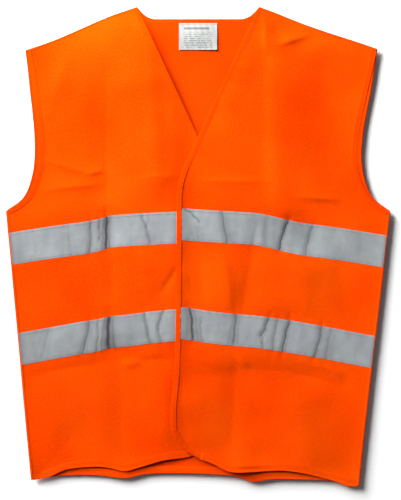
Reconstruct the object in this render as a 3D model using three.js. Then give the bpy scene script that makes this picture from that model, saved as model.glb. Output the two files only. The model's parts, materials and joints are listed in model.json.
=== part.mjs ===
// High visibility vest, laid flat on its back with the front closed. Millimetres.
// +X is the wearer's left, +Y points to the neck and +Z comes up out of the chest.
import * as THREE from "three";

// Driving dimensions. Heights are measured up from the corners of the hem.
const bodyLength = 753; // hem corner to the point where neck and shoulder meet
const chestWidth = 602; // from underarm to underarm
const hemWidth = 516;
const neckWidth = 192;
const neckDepth = 19; // drop of the back neck below the neck and shoulder points
const neckRun = 30; // how far in the back neck's curve reaches before it runs level
const neckPull = 0.45; // share of that run to the point that the curve is pulled towards
const shoulderWidth = 552; // from shoulder tip to shoulder tip
const shoulderDrop = 68;
const armholeDepth = 321; // from the neck and shoulder points down to the underarm
const armholeCut = 50; // how far the front armhole cuts in from the chest width
const backArmholeProud = 7; // the back panel is this much wider at the armholes
// Points along an armhole: shares of its height down from the shoulder tip or up from the
// underarm, and of its cut, with the share of the back panel's extra width that each one takes.
const armholeTop = { down: 0.23, proud: 0.7 };
const armholeMiddle = { down: 0.52 };
const armholeLow = { up: 0.27 };
const armholeFoot = { up: 0.095, out: 0.34, proud: 0.6 };
const neckLineDepth = 248; // height of the straight part of the V
const overlap = 66; // width that the two fronts share
const frontTurn = 55; // height of the curve from the V into the front edge
const cornerSize = 46; // rounded lower corner of each front
const cornerPull = 0.25; // share of its size that the corner's curve is pulled in by
const frontHemRise = 45; // how far the front hem rises towards the middle
const frontHemPower = 1.35; // power of the way in that the rise goes by
const backHemRise = 18;

const clothThickness = 1;
const bindingThickness = 1.4;
const bindingWidth = 8;
const clearance = 0.3; // between pieces that lie on or beside each other

const tapeWidth = 50;
const tapeThickness = 0.5;
const upperTapeSide = 371; // height of the upper tape's middle at the side seams
const tapePitch = 157; // from the upper tape to the lower one
const tapeRise = 37; // how far a front tape's middle climbs from the side to the front edge
const tapeSideGap = 2; // between a tape's end and the side seam
const leftTapeBend = { across: 91, rise: 33 }; // where each front tape changes direction
const rightTapeBend = { across: 143, rise: 27 };
const backTapeRise = 18;

const leftFoldHem = 249; // where the fold lines of the fronts meet the hem, from the middle
const rightFoldHem = 112;
const neckCorner = 24; // length of the V next to the shoulder that stays with the shoulder seam

const padWidth = 26;
const padHeight = 60;
const padThickness = 0.7;
const padAirs = 3.5; // clearances left in the height that the over-lap climbs over the pads
const upperPadHeight = 327; // middle of the upper closure pads
const lowerPadHeight = 150;

const labelWidth = 60;
const labelHeight = 42;
const labelThickness = 0.4;
const labelBelowNeck = 6; // from the back neck's edge to the label's sewn edge

const curveSteps = 12;

// Heights in the stack of layers, from the floor up.
const bindingProud = (bindingThickness - clothThickness) / 2;
const backBottom = tapeThickness + clearance;
const backTop = backBottom + clothThickness;
const frontBottom = backTop + 2 * bindingProud + clearance;
const frontTop = frontBottom + clothThickness;
const frontTapeBottom = frontTop + clearance;

const cloth = new THREE.MeshStandardMaterial({ color: 0xfa5700, roughness: 0.8, metalness: 0 });
const binding = new THREE.MeshStandardMaterial({ color: 0xf04c00, roughness: 0.85, metalness: 0 });
const tape = new THREE.MeshStandardMaterial({ color: 0xa9b0b3, roughness: 0.4, metalness: 0.3 });
const pad = new THREE.MeshStandardMaterial({ color: 0xe85a10, roughness: 0.95, metalness: 0 });
const paper = new THREE.MeshStandardMaterial({ color: 0xe8eaea, roughness: 0.6, metalness: 0 });

const point = (x, y) => new THREE.Vector2(x, y);
const mirrored = (points) => points.map((p) => point(-p.x, p.y));

// Curves of the pattern, each drawn for the wearer's left, where x is positive.
const neckPoint = point(neckWidth / 2, bodyLength);
const shoulderTip = point(shoulderWidth / 2, bodyLength - shoulderDrop);
const underarm = point(chestWidth / 2, bodyLength - armholeDepth);
const hemCorner = point(hemWidth / 2, 0);

function armhole(proud) {
  const inner = chestWidth / 2 - armholeCut;
  const depth = shoulderTip.y - underarm.y;
  const through = [
    shoulderTip,
    point(
      (inner + shoulderTip.x) / 2 + armholeTop.proud * proud,
      shoulderTip.y - armholeTop.down * depth,
    ),
    point(inner + proud, shoulderTip.y - armholeMiddle.down * depth),
    point(inner + proud, underarm.y + armholeLow.up * depth),
    point(
      inner + armholeFoot.out * armholeCut + armholeFoot.proud * proud,
      underarm.y + armholeFoot.up * depth,
    ),
    underarm,
  ];
  const curve = new THREE.SplineCurve(through);
  return curve.getPoints(2 * curveSteps);
}

// The V, the turn into the front edge, and the edge down to its rounded lower corner.
function frontEdge() {
  const edge = -overlap / 2;
  const slope = (neckPoint.x - edge) / (neckLineDepth + frontTurn / 2);
  const turnTop = point(neckPoint.x - slope * neckLineDepth, bodyLength - neckLineDepth);
  const turnMiddle = point(edge, turnTop.y - frontTurn / 2);
  const turnEnd = point(edge, turnTop.y - frontTurn);
  const start = point(neckPoint.x - slope * neckCorner, bodyLength - neckCorner);
  const turn = new THREE.QuadraticBezierCurve(turnTop, turnMiddle, turnEnd);
  const cornerEnd = point(edge + cornerSize, frontHem(edge + cornerSize));
  const pulledIn = cornerPull * cornerSize;
  const corner = new THREE.QuadraticBezierCurve(
    point(edge, cornerEnd.y + cornerSize),
    point(edge + pulledIn, cornerEnd.y + pulledIn),
    cornerEnd,
  );
  return [start, ...turn.getPoints(curveSteps), ...corner.getPoints(curveSteps)];
}

// Height of the front hem at a distance from the middle, a smooth rise from the side.
function frontHem(across) {
  const share = 1 - Math.abs(across) / hemCorner.x;
  return frontHemRise * Math.pow(share, frontHemPower);
}

function hemPoints(fromX, toX, steps) {
  const points = [];
  for (let i = 0; i <= steps; i++) {
    const x = fromX + ((toX - fromX) * i) / steps;
    points.push(point(x, frontHem(x)));
  }
  return points;
}

// Move an edge inwards by a width. Its inside is on the left of the direction of travel, or on
// the right where side is -1. The end points slide along the edges that they meet.
function inset(points, width, side, startAlong, endAlong) {
  const last = points.length - 1;
  return points.map((p, i) => {
    const before = points[Math.max(i - 1, 0)];
    const after = points[Math.min(i + 1, last)];
    const along = after.clone().sub(before).normalize();
    const inward = point(-along.y, along.x).multiplyScalar(side);
    const slide = i === 0 ? startAlong : i === last ? endAlong : inward;
    return p.clone().addScaledVector(slide, width / slide.dot(inward));
  });
}

function meet(a, b, c, d) {
  const ab = b.clone().sub(a);
  const cd = d.clone().sub(c);
  const share = c.clone().sub(a).cross(cd) / ab.cross(cd);
  return a.clone().addScaledVector(ab, share);
}

function slab(name, points, bottom, thickness, material) {
  const shape = new THREE.Shape(points);
  const geometry = new THREE.ExtrudeGeometry(shape, { depth: thickness, bevelEnabled: false });
  const mesh = new THREE.Mesh(geometry, material);
  mesh.name = name;
  mesh.position.z = bottom;
  return mesh;
}

const strip = (outer, inner) => [...outer, ...inner.slice().reverse()];

// A front tape's run: its middle at the side, at its bend and at the front edge.
function tapeRun(height, bend) {
  const side = meet(underarm, hemCorner, point(0, height), point(1, height));
  return [
    point(side.x, height),
    point(bend.across, height + bend.rise),
    point(-overlap, height + tapeRise),
  ];
}

function tapeEdge(run, half) {
  const slope = Math.atan2(run[1].y - run[0].y, run[0].x - run[1].x);
  return run.map((p, i) => point(p.x, p.y + (i < 2 ? half / Math.cos(slope) : half)));
}

// Cut a tape's run between two lines, each given by two points.
function cutTape(run, from, to, keepBend) {
  const upper = tapeEdge(run, tapeWidth / 2);
  const lower = tapeEdge(run, -tapeWidth / 2);
  const cut = (edge, line) => {
    const onOuter = meet(edge[0], edge[1], ...line);
    return onOuter.x >= edge[1].x ? onOuter : meet(edge[1], edge[2], ...line);
  };
  const middle = (edge) => (keepBend ? [edge[1]] : []);
  return [
    cut(lower, from),
    ...middle(lower),
    cut(lower, to),
    cut(upper, to),
    ...middle(upper),
    cut(upper, from),
  ];
}

// Everything of one front, drawn for the wearer's left and mirrored for the right.
function frontPieces(foldHem, bend) {
  const foldFoot = point(foldHem, frontHem(foldHem));
  const foldAt = (y, shift) => meet(neckPoint, foldFoot, point(0, y), point(1, y)).add(point(shift, 0));
  const gap = clearance / 2;
  const cutHeight = bodyLength - neckCorner;
  const level = point(1, 0);
  const shoulderward = neckPoint.clone().sub(shoulderTip).normalize();
  const sideward = hemCorner.clone().sub(underarm).normalize();
  const edge = frontEdge();
  const cornerUp = point(0, 1);

  const hole = armhole(0);
  const holeInner = inset(hole, bindingWidth, -1, shoulderward, sideward);
  const holeSeat = inset(hole, bindingWidth + clearance, -1, shoulderward, sideward);
  const edgeInner = inset(edge, bindingWidth, 1, level, cornerUp);
  const edgeSeat = inset(edge, bindingWidth + clearance, 1, level, cornerUp);

  const neckCut = edge[0].clone().add(point(0, clearance));
  const fixed = [
    neckPoint,
    neckCut,
    foldAt(cutHeight + clearance, gap),
    foldAt(foldFoot.y, gap),
    hemCorner,
    ...holeSeat.slice().reverse(),
  ];

  const hemStart = edge[edge.length - 1].x + clearance;
  const seatEnd = edgeSeat[edgeSeat.length - 1];
  const swinging = [
    ...edgeSeat.slice(0, -1),
    point(hemStart, seatEnd.y),
    ...hemPoints(hemStart, foldHem - gap, curveSteps),
    foldAt(cutHeight, -gap),
  ];

  const sideLine = [underarm, hemCorner].map((p) => p.clone().sub(point(tapeSideGap, 0)));
  const foldLine = (shift) => [foldAt(bodyLength, shift), foldAt(foldFoot.y, shift)];
  const start = -overlap / 2 + bindingWidth + clearance;
  const startLine = [point(start, 0), point(start, 1)];
  const tapes = [upperTapeSide, upperTapeSide - tapePitch].map((height) => {
    const run = tapeRun(height, bend);
    const bendSwings = bend.across < foldAt(run[1].y, 0).x;
    return {
      fixed: cutTape(run, sideLine, foldLine(gap), !bendSwings),
      swinging: cutTape(run, foldLine(-gap), startLine, bendSwings),
    };
  });

  return {
    foldFoot,
    fixed,
    swinging,
    tapes,
    armholeBinding: strip(hole, holeInner),
    edgeBinding: strip(edge, edgeInner),
  };
}

function padOutline(height) {
  const half = padWidth / 2;
  const low = height - padHeight / 2;
  const high = height + padHeight / 2;
  return [point(-half, low), point(half, low), point(half, high), point(-half, high)];
}

function fixedFront(side, front, turn) {
  const group = new THREE.Group();
  const bindingBottom = frontBottom - bindingProud;
  group.add(slab(`${side}_front_side_panel`, turn(front.fixed), frontBottom, clothThickness, cloth));
  ["upper", "lower"].forEach((place, i) => {
    const outline = turn(front.tapes[i].fixed);
    group.add(slab(`${side}_${place}_tape_side`, outline, frontTapeBottom, tapeThickness, tape));
  });
  const outline = turn(front.armholeBinding);
  group.add(slab(`${side}_armhole_front_binding`, outline, bindingBottom, bindingThickness, binding));
  return group;
}

function swingingFront(side, front, turn) {
  const group = new THREE.Group();
  const bindingBottom = frontBottom - bindingProud;
  group.add(slab(`${side}_front_panel`, turn(front.swinging), frontBottom, clothThickness, cloth));
  ["upper", "lower"].forEach((place, i) => {
    const outline = turn(front.tapes[i].swinging);
    group.add(slab(`${side}_${place}_tape`, outline, frontTapeBottom, tapeThickness, tape));
  });
  const outline = turn(front.edgeBinding);
  group.add(slab(`${side}_front_edge_binding`, outline, bindingBottom, bindingThickness, binding));
  return group;
}

function backPieces() {
  const group = new THREE.Group();
  const inward = neckPoint.clone().sub(shoulderTip).normalize();
  const sideward = hemCorner.clone().sub(underarm).normalize();
  const neckLow = bodyLength - neckDepth;
  const neckEnd = point(neckPoint.x - neckRun, neckLow);
  const neckCurve = new THREE.QuadraticBezierCurve(
    neckPoint,
    point(neckPoint.x - neckPull * neckRun, neckLow),
    neckEnd,
  );
  const halfNeck = neckCurve.getPoints(curveSteps);
  const neck = [...halfNeck, ...mirrored(halfNeck).reverse()];
  const outward = inward.clone().negate();
  const outwardLeft = point(-outward.x, outward.y);
  const neckInner = inset(neck, bindingWidth, 1, outward, outwardLeft);
  const neckSeat = inset(neck, bindingWidth + clearance, 1, outward, outwardLeft);
  const hole = armhole(backArmholeProud);
  const holeInner = inset(hole, bindingWidth, -1, inward, sideward);
  const holeSeat = inset(hole, bindingWidth + clearance, -1, inward, sideward);

  const hem = [];
  for (let i = 0; i <= 2 * curveSteps; i++) {
    const across = 1 - i / curveSteps;
    hem.push(point(-hemCorner.x * across, backHemRise * (1 - across * across)));
  }
  const outline = [...neckSeat, ...mirrored(holeSeat), ...hem, ...holeSeat.slice().reverse()];
  group.add(slab("back_panel", outline, backBottom, clothThickness, cloth));

  const bindingBottom = backBottom - bindingProud;
  const neckOutline = strip(neck, neckInner);
  group.add(slab("back_neck_binding", neckOutline, bindingBottom, bindingThickness, binding));
  const holeOutline = strip(hole, holeInner);
  const mirror = mirrored(holeOutline);
  group.add(slab("left_armhole_back_binding", holeOutline, bindingBottom, bindingThickness, binding));
  group.add(slab("right_armhole_back_binding", mirror, bindingBottom, bindingThickness, binding));

  ["upper", "lower"].forEach((place, i) => {
    const height = upperTapeSide - i * tapePitch;
    group.add(slab(`back_${place}_tape`, backTape(height), 0, tapeThickness, tape));
  });
  return group;
}

// A back tape bows up between the side seams, where it meets the ends of the front tapes.
function backTape(height) {
  const edge = (half) => {
    const points = [];
    for (let i = 0; i <= 2 * curveSteps; i++) {
      const across = i / curveSteps - 1;
      const y = height + half + backTapeRise * (1 - across * across);
      const side = meet(underarm, hemCorner, point(0, y), point(1, y)).x - tapeSideGap;
      points.push(point(across * side, y));
    }
    return points;
  };
  return strip(edge(-tapeWidth / 2), edge(tapeWidth / 2));
}

// Tilt the over-lapping front about its fold line, so that it climbs over the closure pads.
function tiltAbout(group, foldTop, foldFoot) {
  const fold = foldTop.clone().sub(foldFoot).normalize();
  const nearPad = point(padWidth / 2, upperPadHeight + padHeight / 2).sub(foldFoot);
  const reach = Math.abs(fold.cross(nearPad));
  const climb = frontTop - frontBottom + 2 * padThickness + padAirs * clearance;
  const turn = new THREE.Group();
  turn.position.set(foldFoot.x, foldFoot.y, frontBottom);
  const axis = new THREE.Vector3(fold.x, fold.y, 0);
  turn.quaternion.setFromAxisAngle(axis, Math.asin(climb / reach));
  group.position.set(-foldFoot.x, -foldFoot.y, -frontBottom);
  turn.add(group);
  return turn;
}

const same = (points) => points;
const left = frontPieces(leftFoldHem, leftTapeBend);
const right = frontPieces(rightFoldHem, rightTapeBend);
const vest = new THREE.Group();
vest.add(backPieces());
vest.add(fixedFront("left", left, same));
vest.add(fixedFront("right", right, mirrored));

const leftFlap = swingingFront("left", left, same);
const rightFlap = swingingFront("right", right, mirrored);
[["upper", upperPadHeight], ["lower", lowerPadHeight]].forEach(([place, height]) => {
  const outline = padOutline(height);
  const loopBottom = frontBottom - clearance - padThickness;
  leftFlap.add(slab(`${place}_loop_pad`, outline, loopBottom, padThickness, pad));
  rightFlap.add(slab(`${place}_hook_pad`, outline, frontTop + clearance, padThickness, pad));
});
vest.add(tiltAbout(leftFlap, neckPoint, left.foldFoot));
vest.add(rightFlap);

const labelTop = bodyLength - neckDepth - labelBelowNeck;
const labelOutline = [
  point(-labelWidth / 2, labelTop - labelHeight),
  point(labelWidth / 2, labelTop - labelHeight),
  point(labelWidth / 2, labelTop),
  point(-labelWidth / 2, labelTop),
];
const labelBottom = backTop + bindingProud + clearance;
vest.add(slab("care_label", labelOutline, labelBottom, labelThickness, paper));

// Put the origin at the middle of the footprint, on the floor.
const extent = new THREE.Box3().setFromObject(vest, true);
const middle = extent.getCenter(new THREE.Vector3());
vest.position.set(-middle.x, -middle.y, -extent.min.z);

export default vest;
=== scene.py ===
import json
import bpy
import numpy as np
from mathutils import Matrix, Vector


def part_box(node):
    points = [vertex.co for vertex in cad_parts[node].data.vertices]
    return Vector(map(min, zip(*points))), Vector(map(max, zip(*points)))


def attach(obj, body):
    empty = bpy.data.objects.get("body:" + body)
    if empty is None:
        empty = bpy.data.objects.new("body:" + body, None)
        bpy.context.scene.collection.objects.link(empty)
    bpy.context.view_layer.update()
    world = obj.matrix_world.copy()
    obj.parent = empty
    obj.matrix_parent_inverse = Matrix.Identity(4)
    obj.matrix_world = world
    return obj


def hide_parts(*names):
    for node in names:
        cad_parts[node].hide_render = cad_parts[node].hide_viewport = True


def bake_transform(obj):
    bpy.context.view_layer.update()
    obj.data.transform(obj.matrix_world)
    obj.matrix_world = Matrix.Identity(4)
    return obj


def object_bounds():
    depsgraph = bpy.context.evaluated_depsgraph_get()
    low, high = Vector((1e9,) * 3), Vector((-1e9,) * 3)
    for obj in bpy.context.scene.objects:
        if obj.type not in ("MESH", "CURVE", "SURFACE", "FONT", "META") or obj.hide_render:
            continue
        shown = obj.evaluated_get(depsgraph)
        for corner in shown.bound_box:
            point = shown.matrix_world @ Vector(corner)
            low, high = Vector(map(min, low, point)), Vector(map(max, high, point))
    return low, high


# High visibility vest lying flat on its back, front closed. Metres, +Y to the neck, +Z up.
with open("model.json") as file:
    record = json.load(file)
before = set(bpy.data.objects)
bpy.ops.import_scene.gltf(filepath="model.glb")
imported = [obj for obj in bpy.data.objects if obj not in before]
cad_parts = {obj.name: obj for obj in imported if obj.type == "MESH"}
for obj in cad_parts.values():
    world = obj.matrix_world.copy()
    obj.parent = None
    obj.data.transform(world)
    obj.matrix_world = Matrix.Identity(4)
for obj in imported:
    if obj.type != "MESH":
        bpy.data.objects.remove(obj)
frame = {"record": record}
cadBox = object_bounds()
boxLow = np.array(cadBox[0])
boxHigh = np.array(cadBox[1])
hemLevel = float(boxLow[1])
neckLevel = float(boxHigh[1])
halfChest = float(boxHigh[0])
joints = {joint["name"]: joint for joint in frame["record"]["behaviour"]["joints"]}
print("frame loaded, box", boxLow, boxHigh)

# Camera, floor and light.

shot = {"distance": 3.2, "spanUp": 0.7875, "middle": (0.0039, -0.0055), "sensor": 36.0}
studio = {
    "floorColour": (0.95, 0.95, 0.95),
    "worldStrength": 0.10,
    "keyPlace": (-4.4, 3.7, 2.5),
    "keySize": 4.4,
    "keyPower": 1380.0,
    "fillPlace": (-0.20, 0.56, 0.30),
    "fillSize": 0.16,
    "fillPower": 2.8,
}


# Camera above the middle: focal length = sensor width * distance / span seen at the floor.
def makeCamera():
    data = bpy.data.cameras.new("studioCamera")
    data.sensor_width = shot["sensor"]
    data.lens = shot["sensor"] * shot["distance"] / shot["spanUp"]
    camera = bpy.data.objects.new("studioCamera", data)
    camera.location = (shot["middle"][0], shot["middle"][1], shot["distance"])
    bpy.context.scene.collection.objects.link(camera)
    bpy.context.scene.camera = camera


def areaLight(name, place, size, power):
    data = bpy.data.lights.new(name, "AREA")
    data.size = size
    data.energy = power
    light = bpy.data.objects.new(name, data)
    light.location = place
    light.rotation_mode = "QUATERNION"
    toMiddle = -light.location.copy()
    light.rotation_quaternion = toMiddle.to_track_quat("-Z", "Y")
    bpy.context.scene.collection.objects.link(light)


def makeStudio():
    scene = bpy.context.scene
    scene.view_settings.view_transform = "Standard"
    world = bpy.data.worlds.new("softRoom")
    world.use_nodes = True
    glow = world.node_tree.nodes["Background"].inputs
    glow["Color"].default_value = (1, 1, 1, 1)
    glow["Strength"].default_value = studio["worldStrength"]
    scene.world = world
    areaLight("keyLight", studio["keyPlace"], studio["keySize"], studio["keyPower"])
    areaLight("fillLight", studio["fillPlace"], studio["fillSize"], studio["fillPower"])
    mesh = bpy.data.meshes.new("floor")
    reach = 12.0
    corners = [(-reach, -reach, 0), (reach, -reach, 0), (reach, reach, 0), (-reach, reach, 0)]
    mesh.from_pydata(corners, [], [(0, 1, 2, 3)])
    floor = bpy.data.objects.new("floor", mesh)
    scene.collection.objects.link(floor)
    paint = bpy.data.materials.new("floorPaint")
    paint.use_nodes = True
    shader = paint.node_tree.nodes["Principled BSDF"]
    shader.inputs["Base Color"].default_value = (*studio["floorColour"], 1)
    shader.inputs["Roughness"].default_value = 0.9
    shader.inputs["Specular IOR Level"].default_value = 0.1
    mesh.materials.append(paint)


# Pattern of the vest: the edges of its panels.

cut = {
    "halfHem": 0.258,
    "halfNeck": 0.096,
    "neckDepth": 0.019,
    "neckRun": 0.030,
    "neckPull": 0.45,
    "halfShoulder": 0.276,
    "shoulderDrop": 0.068,
    "armholeDepth": 0.321,
    "armholeCut": 0.050,
    "backArmholeProud": 0.007,
    "neckLine": 0.248,
    "overlap": 0.066,
    "frontTurn": 0.055,
    "cornerSize": 0.046,
    "cornerPull": 0.25,
    "frontHemRise": 0.045,
    "frontHemPower": 1.35,
    "backHemRise": 0.018,
}
neckPoint = np.array([cut["halfNeck"], neckLevel])
shoulderTip = np.array([cut["halfShoulder"], neckLevel - cut["shoulderDrop"]])
underarm = np.array([halfChest, neckLevel - cut["armholeDepth"]])
hemCorner = np.array([cut["halfHem"], hemLevel])
frontLine = -cut["overlap"] / 2
cornerX = frontLine + cut["cornerSize"]


# Length along a broken line at each of its points: the running sum of its steps.
def lengths(points):
    steps = np.linalg.norm(np.diff(points, axis=0), axis=1)
    return np.concatenate([[0], np.cumsum(steps)])


# Places at the wanted lengths along a broken line.
def placesAt(points, wanted):
    along = lengths(points)
    return np.stack([np.interp(wanted, along, column) for column in points.T], -1)


# Points spread evenly by length along a broken line.
def evenly(points, count):
    return placesAt(points, np.linspace(0, lengths(points)[-1], count))


# Catmull-Rom spline: each span is the cubic that leaves and meets its points along
# their neighbours' chord.
def spline(points, perSpan=24):
    points = np.asarray(points, float)
    ends = np.vstack([2 * points[0] - points[1], points, 2 * points[-1] - points[-2]])
    t = np.linspace(0, 1, perSpan, endpoint=False)[:, None]
    spans = []
    for i in range(len(points) - 1):
        a, b, c, d = ends[i : i + 4]
        spans.append(0.5 * (2 * b + (c - a) * t + (2 * a - 5 * b + 4 * c - d) * t**2
                            + (3 * b - a - 3 * c + d) * t**3))
    return np.vstack([*spans, points[-1:]])


# Quadratic curve from a to c, pulled towards b.
def bend(a, b, c, count=24):
    t = np.linspace(0, 1, count)[:, None]
    return (1 - t) ** 2 * np.asarray(a) + 2 * t * (1 - t) * np.asarray(b) + t**2 * np.asarray(c)


# Armhole from the shoulder tip down to the underarm; proud widens the panel there.
def armholeLine(proud):
    inner = halfChest - cut["armholeCut"]
    depth = shoulderTip[1] - underarm[1]
    return spline([
        shoulderTip,
        ((inner + shoulderTip[0]) / 2 + 0.7 * proud, shoulderTip[1] - 0.23 * depth),
        (inner + proud, shoulderTip[1] - 0.52 * depth),
        (inner + proud, underarm[1] + 0.27 * depth),
        (inner + 0.34 * cut["armholeCut"] + 0.6 * proud, underarm[1] + 0.095 * depth),
        underarm,
    ])


# Height of the front hem at x: it rises from the side to the middle as a power of the way in.
def frontHem(x):
    share = np.clip(1 - np.abs(x) / cut["halfHem"], 0, 1)
    return hemLevel + cut["frontHemRise"] * share ** cut["frontHemPower"]


# Height of the back hem at x: a shallow arch between the hem corners.
def backHem(x):
    return hemLevel + cut["backHemRise"] * (1 - (x / cut["halfHem"]) ** 2)


# Front edge of the wearer's left front, from its lower corner up to the neck point.
def frontEdgeLine():
    slope = (neckPoint[0] - frontLine) / (cut["neckLine"] + cut["frontTurn"] / 2)
    turnTop = neckPoint - np.array([slope, 1]) * cut["neckLine"]
    turnEnd = np.array([frontLine, turnTop[1] - cut["frontTurn"]])
    turnMiddle = np.array([frontLine, turnTop[1] - cut["frontTurn"] / 2])
    cornerEnd = np.array([cornerX, frontHem(cornerX)])
    cornerTop = np.array([frontLine, cornerEnd[1] + cut["cornerSize"]])
    cornerPull = np.array([frontLine, cornerEnd[1]]) + cut["cornerPull"] * cut["cornerSize"]
    corner = bend(cornerEnd, cornerPull, cornerTop)
    turn = bend(turnEnd, turnMiddle, turnTop)
    return np.vstack([corner, turn, neckPoint[None]])


# Outer edge from the hem corner up the side and the armhole.
def sideLine(proud=0.0):
    return np.vstack([hemCorner[None], armholeLine(proud)[::-1]])


# Back neck from the neck point in to where it runs level.
def neckHalf():
    level = neckLevel - cut["neckDepth"]
    turnIn = (cut["halfNeck"] - cut["neckRun"], level)
    pull = (cut["halfNeck"] - cut["neckPull"] * cut["neckRun"], level)
    return bend(neckPoint, pull, turnIn)


def neckLine():
    half = neckHalf()
    return np.vstack([half, (half * (-1, 1))[::-1]])


frontEdge = frontEdgeLine()
outerFront = sideLine()
outerBack = sideLine(cut["backArmholeProud"])


# Where an outer edge lies at y.
def sideX(y, outer=outerFront):
    return np.interp(y, outer[:, 1], outer[:, 0])


# Heights of the layers.

layer = {
    "backLift": 0.0011,  # middle of the back cloth over the floor, with the back tapes beneath
    "backWave": 0.0010,
    "curl": 0.0062,  # how far the outer edges lift off the floor
    "curlReach": 0.024,
    "seamGap": 0.0012,  # between the layers along the side and shoulder seams
    "loft": 0.0042,  # air between the front and the back away from the seams
    "loftReach": 0.035,
    "hemQuiet": 0.78,  # share of the relief that is lost at a front hem
    "wave": 0.0020,
    "wrinkle": 0.0005,
    "grain": 0.00012,
    "foldGain": 2.1,
    "creaseGain": 1.5,
    "press": 0.0009,  # how softly a valley flattens where it would sink into the layer below
    "lapGap": 0.0019,  # between the two fronts where they lap
    "lapStart": 0.200,
    "lapEnd": 0.036,
    "lapRelief": 0.75,  # share of its own relief that the over-lap keeps
    "underRelief": 0.45,  # share of its relief that the under-lap keeps beneath it
    "underSpan": (-0.045, -0.005),
    "hemLiftReach": 0.022,
    "clothThick": 0.0005,
    "tapeLift": 0.00055,
    "tapeThick": 0.0003,
}
gape = {"height": 0.0010, "middle": -0.045, "reachUp": 0.022, "reachAcross": 0.018}

# Folds of a front: from, to, height, reach on the left or lower side, reach on the other,
# roundness.
# A positive height is a ridge and a negative one a valley.
rightFolds = [
    ((-0.076, 0.369), (-0.074, 0.235), 0.0034, 0.045, 0.028, 0.010),
    ((-0.072, 0.240), (-0.060, 0.073), 0.0020, 0.030, 0.022, 0.008),
    ((-0.146, 0.294), (-0.145, 0.065), -0.0016, 0.030, 0.022, 0.003),
    ((-0.256, 0.139), (-0.173, 0.114), 0.0011, 0.0035, 0.010, 0.0012),
    ((-0.176, 0.114), (-0.148, 0.119), 0.0010, 0.0040, 0.008, 0.0015),
    ((-0.243, 0.089), (-0.157, 0.098), 0.0011, 0.0050, 0.012, 0.002),
    ((-0.205, 0.313), (-0.233, 0.228), 0.0022, 0.018, 0.020, 0.006),
    ((-0.252, 0.201), (-0.230, 0.209), 0.0009, 0.0035, 0.006, 0.0015),
    ((-0.094, 0.108), (-0.035, 0.111), 0.0010, 0.015, 0.005, 0.002),
    ((-0.142, 0.051), (-0.134, -0.087), -0.0019, 0.030, 0.025, 0.003),
    ((-0.088, -0.006), (-0.079, -0.084), 0.0016, 0.030, 0.018, 0.006),
    ((-0.028, -0.028), (-0.057, -0.072), -0.0009, 0.005, 0.008, 0.0015),
    ((-0.126, -0.150), (-0.112, -0.356), -0.0024, 0.045, 0.040, 0.002),
    ((-0.241, -0.210), (-0.233, -0.352), 0.0015, 0.030, 0.030, 0.015),
    ((-0.052, -0.195), (-0.052, -0.320), 0.0013, 0.030, 0.020, 0.008),
    ((-0.272, -0.206), (-0.205, -0.192), -0.0011, 0.012, 0.012, 0.002),
    ((-0.217, -0.194), (-0.126, -0.180), -0.0011, 0.012, 0.012, 0.002),
    ((-0.122, -0.188), (-0.088, -0.182), 0.0010, 0.008, 0.006, 0.002),
    ((-0.091, -0.180), (-0.035, -0.177), -0.0008, 0.008, 0.008, 0.002),
]
leftFolds = [
    ((0.101, 0.366), (0.103, 0.085), -0.0010, 0.025, 0.014, 0.003),
    ((0.120, 0.341), (0.128, 0.030), 0.0023, 0.022, 0.040, 0.012),
    ((0.186, 0.302), (0.236, 0.113), -0.0024, 0.030, 0.030, 0.008),
    ((0.104, 0.369), (0.107, 0.309), 0.0030, 0.006, 0.022, 0.002),
    ((0.128, 0.318), (0.176, 0.336), 0.0030, 0.004, 0.018, 0.0015),
    ((0.114, 0.342), (0.136, 0.324), -0.0020, 0.005, 0.006, 0.0015),
    ((0.176, 0.326), (0.274, 0.290), 0.0022, 0.022, 0.010, 0.006),
    ((0.057, 0.284), (0.083, 0.276), 0.0006, 0.0035, 0.006, 0.0012),
    ((0.050, 0.270), (0.079, 0.259), 0.0006, 0.0035, 0.006, 0.0012),
    ((0.043, 0.252), (0.072, 0.237), 0.0006, 0.0035, 0.007, 0.0015),
    ((0.034, 0.233), (0.060, 0.219), 0.0005, 0.0040, 0.007, 0.0015),
    ((0.011, 0.103), (0.102, 0.102), 0.0011, 0.010, 0.004, 0.002),
    ((0.161, 0.078), (0.221, 0.073), 0.0010, 0.004, 0.008, 0.002),
    ((0.205, 0.140), (0.245, 0.105), 0.0009, 0.008, 0.010, 0.003),
    ((0.094, 0.051), (0.068, -0.131), -0.0012, 0.018, 0.020, 0.003),
    ((0.038, -0.006), (0.054, -0.092), 0.0017, 0.018, 0.012, 0.004),
    ((0.000, -0.009), (0.011, -0.092), -0.0013, 0.014, 0.014, 0.004),
    ((0.158, -0.009), (0.169, -0.100), 0.0016, 0.040, 0.030, 0.012),
    ((0.220, -0.013), (0.232, -0.113), -0.0005, 0.020, 0.030, 0.008),
    ((0.063, -0.178), (0.055, -0.360), -0.0030, 0.040, 0.060, 0.0012),
    ((0.161, -0.218), (0.189, -0.360), 0.0017, 0.045, 0.040, 0.020),
    ((-0.016, -0.215), (0.000, -0.330), 0.0015, 0.016, 0.045, 0.005),
    ((0.010, -0.178), (0.066, -0.190), 0.0008, 0.010, 0.015, 0.002),
    ((0.071, -0.191), (0.161, -0.198), -0.0004, 0.008, 0.009, 0.0012),
    ((0.150, -0.197), (0.243, -0.223), -0.0006, 0.008, 0.009, 0.0012),
    ((0.161, -0.180), (0.232, -0.198), 0.0006, 0.007, 0.010, 0.002),
    ((0.062, -0.172), (0.082, -0.190), 0.0009, 0.003, 0.004, 0.0012),
    ((0.228, -0.204), (0.247, -0.224), -0.0008, 0.004, 0.005, 0.0015),
]

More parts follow.
